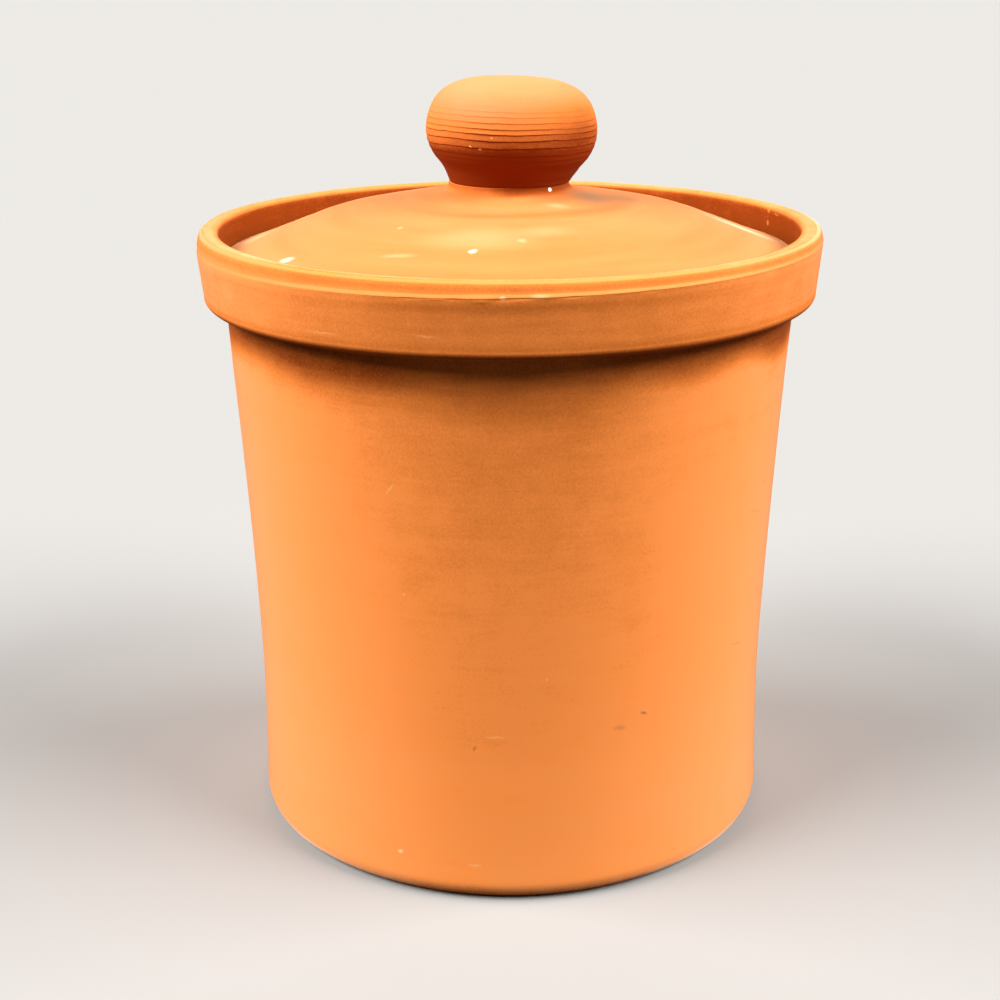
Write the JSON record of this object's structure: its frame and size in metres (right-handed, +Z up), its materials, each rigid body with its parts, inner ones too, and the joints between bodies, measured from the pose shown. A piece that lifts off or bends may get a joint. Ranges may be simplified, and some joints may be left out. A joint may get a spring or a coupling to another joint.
{
  "type": "tea canister",
  "caption": "Unglazed terracotta tea canister: tapering jar with a collared rim, domed lid that drops into the collar, and a turned ball knob.",
  "frame": {"origin": "centre of the base, on the surface that the jar stands on", "axes": "+Z up along the axis that the jar, lid and knob are turned about; -Y towards the side that the picture shows"},
  "size_m": [0.1486, 0.1486, 0.181],
  "materials": {
    "jar_terracotta": "unglazed, matte, fine turned grain",
    "lid_terracotta": "unglazed, matte, sponged smooth",
    "knob_terracotta": "unglazed, matte, turned ridges"
  },
  "bodies": {
    "jar": {"jar_body": "jar_terracotta"},
    "lid": {"lid": "lid_terracotta", "lid_knob": "knob_terracotta"}
  },
  "joints": [
    {"name": "lid_lift", "type": "slide", "parent": "jar", "child": "lid", "axis": [0, 0, 1], "range_m": [0, 0.06]}
  ]
}
